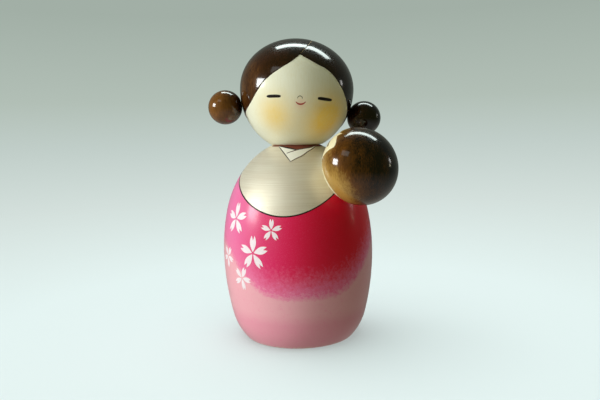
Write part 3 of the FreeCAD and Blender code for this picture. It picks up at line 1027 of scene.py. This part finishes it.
def make_baby_hair(lacquer):
    """The baby's hair: golden next to the face, with a painted lit spot, and dark over the back."""
    other_side = [(-angle, latitude) for angle, latitude in BABY_HAIR]
    cap = Cap(baby, (0, -50), (BABY_HAIR, other_side), smooth=False)
    hair = cap.build("baby_hair", lacquer)
    bearing, distance = cap.polar(baby.directions(hair))
    near = np.exp(-np.clip(distance - cap.edge(bearing), 0, None) / math.radians(26))
    # golden next to the face, plus a painted light spot where the key falls
    dab(hair, baby, "tone_and_painted_light", BABY_LIT_SPOT, base=0.04 + 0.42 * near)
    return hair


def make_baby_features(ink, red):
    """Closed eyes and a smile, as on the mother."""
    marks = [(name, [(side * 28, -5.2), (side * 35, -6.2), (side * 42, -4.4)], 1.2, ink)
             for side, name in ((1, "baby_eye_left"), (-1, "baby_eye_right"))]
    marks.append(("baby_mouth", [(-4.2, -19.6), (0, -21.2), (4.2, -19.6)], 0.42, red))
    return [feature(baby, name, places, 8, width, material, 0.4, 0.4, 3.0)
            for name, places, width, material in marks]


# ---------- stage, light and camera

CAMERA_AZIMUTH = 10.5
CAMERA_DISTANCE = 316.6 * MM
CAMERA_HEIGHT = 104.1 * MM
CAMERA_DOWN = math.radians(6.3)
CAMERA_ROLL = math.radians(1.33)
CAMERA_LENS, CAMERA_SENSOR, CAMERA_SHIFT = 37.2, 36, 0.005

# the sweep in metres: it glows with a tone that goes by how high the camera sees it, greyer higher
# up as painted shade, and its lit share goes by distance
SWEEP_FLAT, SWEEP_ROUND, SWEEP_TOP = 2.0, 1.0, 3.0
SWEEP_LOW, SWEEP_HIGH = math.radians(-12), math.radians(12)
SWEEP_TONES = [(0.0, (0.768, 0.896, 0.887)), (0.2375, (0.658, 0.745, 0.716)),
               (0.452, (0.533, 0.617, 0.584)), (0.62, (0.445, 0.521, 0.468)),
               (0.925, (0.361, 0.429, 0.381))]
FLOOR_GAP = 0.02 * MM
FLOOR_LIT_SHARE = 0.55
FLOOR_PAINT = 0.45
FLOOR_LIT_TO, FLOOR_LIT_FADE = 0.6, 0.4

# the room that the lacquer mirrors, from in front of the doll to behind it, and its floor
ROOM_TONES = [(0.0, (0.115, 0.119, 0.040)), (0.45, (0.11, 0.112, 0.048)),
              (0.62, (0.10, 0.115, 0.09)), (1.0, (0.14, 0.16, 0.14))]
ROOM_FLOOR = (0.38, 0.37, 0.33)

# each light: azimuth from the camera's, elevation, distance, width, height, radiance, colour
COOL = (0.95, 1.0, 1.0)
LIGHTS = {
    "window": (-76, 14, 1.0, 0.34, 0.24, 22, COOL),
    "strip": (172, 64, 1.0, 1.05, 0.20, 10, (0.87, 1.0, 0.96)),
    "lamp_high": (100, 12, 1.0, 0.08, 0.13, 5, (1.0, 1.0, 0.96)),
    "lamp_low": (96, 5, 1.0, 0.08, 0.06, 4, (1.0, 0.93, 0.66)),
    "key": (-52, 15, 1.1, 1.0, 1.0, 2.6, (0.98, 1.0, 0.98)),
    "wall": (150, 20, 1.4, 1.6, 1.4, 0.55, (0.93, 1.0, 0.95)),
    "gleam": (-50, 26, 1.1, 0.7, 0.8, 1.3, COOL),
    "pane": (-45, 42, 1.0, 0.40, 0.24, 1.2, COOL),
}
LIGHT_AIM = 0.09
STRIP_SHIFT = 0.16
SUN_ENERGY, SUN_ANGLE, SUN_FROM = 3.65, math.radians(64), (-0.14, -0.04, 0.98)


def direction_at(azimuth, elevation):
    """The way from the doll towards something at this azimuth, in degrees, and elevation."""
    return Vector(look(azimuth, elevation))


def make_camera():
    """A camera a little to the doll's left of its front, just above the height of its chin."""
    data = bpy.data.cameras.new("camera")
    data.lens, data.sensor_width, data.shift_x = CAMERA_LENS, CAMERA_SENSOR, CAMERA_SHIFT
    data.clip_start, data.clip_end = 0.02, 20
    camera = linked("camera", data)
    out = direction_at(CAMERA_AZIMUTH, 0)
    back = out * math.cos(CAMERA_DOWN) + Vector((0, 0, math.sin(CAMERA_DOWN)))
    right = Vector((0, 0, 1)).cross(back).normalized()
    up = back.cross(right)
    roll = Matrix.Rotation(-CAMERA_ROLL, 4, "Z")
    place = Matrix.Translation(out * CAMERA_DISTANCE + Vector((0, 0, CAMERA_HEIGHT)))
    camera.matrix_world = place @ Matrix((right, up, back)).transposed().to_4x4() @ roll
    bpy.context.scene.camera = camera


def make_sweep():
    """Floor and wall in one round sheet that glows, pale underfoot and greyer as it rises, a
    painted shade.
    """
    columns = 96
    flat = (0.02, 0.05, 0.08, 0.12, 0.17, 0.23, 0.3, 0.4, 0.5, 0.65, 0.8, 1.0, 1.2, 1.4, 1.6, 1.8)
    profile = [(r, 0.0) for r in (*flat, SWEEP_FLAT)]
    profile += [(SWEEP_FLAT + SWEEP_ROUND * math.sin(a), SWEEP_ROUND * (1 - math.cos(a)))
                for a in np.linspace(0, TURN / 4, 40)[1:]]
    profile += [(SWEEP_FLAT + SWEEP_ROUND, z) for z in (1.3, 1.7, 2.2, SWEEP_TOP)]
    points = np.concatenate([*round_rings(profile, columns), [[0, 0, 0]]]) - [0, 0, FLOOR_GAP]
    faces = ring_faces(len(profile), columns)
    faces += [[len(points) - 1, c, (c + 1) % columns] for c in range(columns)]
    paint = Paint("studio_sweep", 0.0)
    paint.put("Roughness", 0.9)
    tone = paint.ramp(paint.field("rise"), *SWEEP_TONES)
    matt = paint.field("matt")
    lit_tone = paint.mix(1.0, tone, grey(FLOOR_PAINT), blend="MULTIPLY")
    paint.put("Base Color", paint.mix(matt, (0, 0, 0), lit_tone))
    paint.put("Emission Color", tone)
    paint.put("Emission Strength", paint.levels(matt, 1.0, 1.0 - FLOOR_LIT_SHARE))
    sweep = new_object("sweep", points, faces, paint.material)
    radius = np.hypot(points[:, 0], points[:, 1])
    seen = np.arctan2(points[:, 2] - CAMERA_HEIGHT, radius + CAMERA_DISTANCE)
    stain(sweep, "rise", np.clip((seen - SWEEP_LOW) / (SWEEP_HIGH - SWEEP_LOW), 0, 1))
    stain(sweep, "matt", np.clip((FLOOR_LIT_TO - radius) / FLOOR_LIT_FADE, 0, 1))
    sweep.visible_diffuse = False
    sweep.visible_glossy = False
    sweep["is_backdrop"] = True
    return sweep


def aim(light, out, lit):
    """Turns the light's back towards out and lets it light one group of objects only."""
    light.rotation_mode = "QUATERNION"
    light.rotation_quaternion = out.to_track_quat("Z", "Y")
    light.light_linking.receiver_collection = lit


def make_light(name, lit, azimuth, elevation, distance, width, height, radiance, colour):
    """A soft rectangular light facing the doll, with the radiance of its surface."""
    data = bpy.data.lights.new(name, "AREA")
    data.shape = "RECTANGLE"
    data.size, data.size_y = width, height
    data.energy = radiance * math.pi * width * height
    data.color = colour
    light = linked(name, data)
    out = direction_at(CAMERA_AZIMUTH + azimuth, elevation)
    light.location = Vector((0, 0, LIGHT_AIM)) + out * distance
    aim(light, out, lit)
    return light


def make_world():
    """Dim warm room in front of the doll, pale studio wall behind it and a pale floor."""
    world = bpy.data.worlds.new("room")
    world.use_nodes = True
    bpy.context.scene.world = world
    room = Nodes(world.node_tree, "Generated")
    depth = room.add("ShaderNodeVectorMath", {0: room.place, 1: -direction_at(CAMERA_AZIMUTH, 0)},
                     operation="DOT_PRODUCT").outputs["Value"]
    walls = room.ramp(room.levels(depth, 0.0, 1.0, -1.0, 1.0), *ROOM_TONES)
    height = room.add("ShaderNodeSeparateXYZ", {0: room.place}).outputs["Z"]
    colour = room.mix(room.levels(height, 0.0, 1.0, -0.1, -0.6), walls, ROOM_FLOOR)
    room.join(room.tree.nodes["Background"].inputs["Color"], colour)


def make_lights(doll, body, stage):
    """Window, strip and lamps show in the lacquer, key and wall only light the doll, gleam and
    pane only show as sheen, and the sun lights the floor round the doll."""
    lights = {name: make_light(name, body if name == "gleam" else doll, *what)
              for name, what in LIGHTS.items()}
    lights["strip"].location.x += STRIP_SHIFT
    for name in ("gleam", "pane"):
        lights[name].visible_diffuse = False
    for name in ("key", "wall"):
        lights[name].visible_glossy = False
    data = bpy.data.lights.new("floor_sun", "SUN")
    data.energy, data.angle, data.color = SUN_ENERGY, SUN_ANGLE, (1.0, 0.98, 1.0)
    aim(linked("floor_sun", data), Vector(SUN_FROM), stage)


# ---------- the doll

def ride_on(body, slot, *made):
    """Lets the pieces move with a body; slot is not used."""
    for piece in made:
        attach(piece, body)


def make_doll():
    """Every piece, with what it moves with and which CAD node it replaces."""
    wood = bare_wood()
    ink = brush_paint("ink", (0.007, 0.004, 0.004), (0.014, 0.008, 0.007), 0.45)
    soft_ink = brush_paint("thin_ink", (0.07, 0.035, 0.022), (0.12, 0.07, 0.045), 0.40)
    white = brush_paint("collar_white", (0.93, 0.92, 0.84), (0.90, 0.88, 0.78), 0.40)
    petal = brush_paint("petal_white", (0.93, 0.84, 0.88), (0.88, 0.74, 0.80), 0.38)
    # the neck skin's dark red-brown is painted shade under the chin
    skin = brush_paint("shaded_neck_skin", (0.22, 0.055, 0.032), (0.17, 0.04, 0.026), 0.42)
    red = brush_paint("lip_red", (0.36, 0.022, 0.020), (0.42, 0.04, 0.03), 0.35)
    olive = brush_paint("nose_line", (0.13, 0.12, 0.06), (0.19, 0.17, 0.09), 0.42)
    light = brush_paint("parting_line", (0.52, 0.40, 0.25), (0.42, 0.30, 0.18), 0.40)
    face = face_paint("face_paint", (0.84, 0.84, 0.67), (0.94, 0.62, 0.09))
    baby_face = face_paint("baby_face_paint", (0.86, 0.78, 0.52), (0.86, 0.52, 0.24))
    hair = hair_lacquer("hair_lacquer", HAIR_STAIN_AND_LIGHT, 6 * MM, (1, 1, 4), 0.20)
    baby_hair = hair_lacquer("baby_lacquer", BABY_STAIN_AND_LIGHT, 4 * MM, (1, 1, 3), 0.26)

    body = make_body(skirt_paint(), bodice_paint(), wood)
    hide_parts("body")
    ride_on("torso", "painted_body", body, make_neckline(ink))
    ride_on("torso", "painted_body", *make_collar(white, skin, ink, soft_ink))
    for number, where in enumerate(BLOSSOMS, 1):
        ride_on("torso", "painted_body", make_blossom(number, where, petal))

    core = make_head_core(face)
    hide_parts("head")
    ride_on("mother_head", "painted_head", core, *make_features(ink, red, olive))
    ride_on("mother_head", "hair_lacquer", make_head_hair(hair), make_parting(light))
    for side, node in ((1, "left_bun"), (-1, "right_bun")):
        bun = make_bun(node + "_ball", side, hair)
        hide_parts(node)
        ride_on("mother_head", "hair_lacquer", bun)

    baby_core = make_baby_core(baby_face)
    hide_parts("baby_head")
    ride_on("baby", "painted_head", baby_core, *make_baby_features(ink, red))
    ride_on("baby", "baby_lacquer", make_baby_hair(baby_hair))

    for node in ("neck_dowel", "baby_dowel", "left_bun_dowel", "right_bun_dowel"):
        frame["nodes"][node].material_slots[0].material = wood


def group(name, objects):
    """A collection for a light to be linked to."""
    made = bpy.data.collections.new(name)
    for one in objects:
        made.objects.link(one)
    return made


scene = bpy.context.scene
scene.view_settings.view_transform = "Standard"
make_doll()
sweep = make_sweep()
make_world()
make_lights(group("doll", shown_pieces()), group("body_only", [bpy.data.objects["painted_body"]]),
            group("stage", [sweep]))
make_camera()
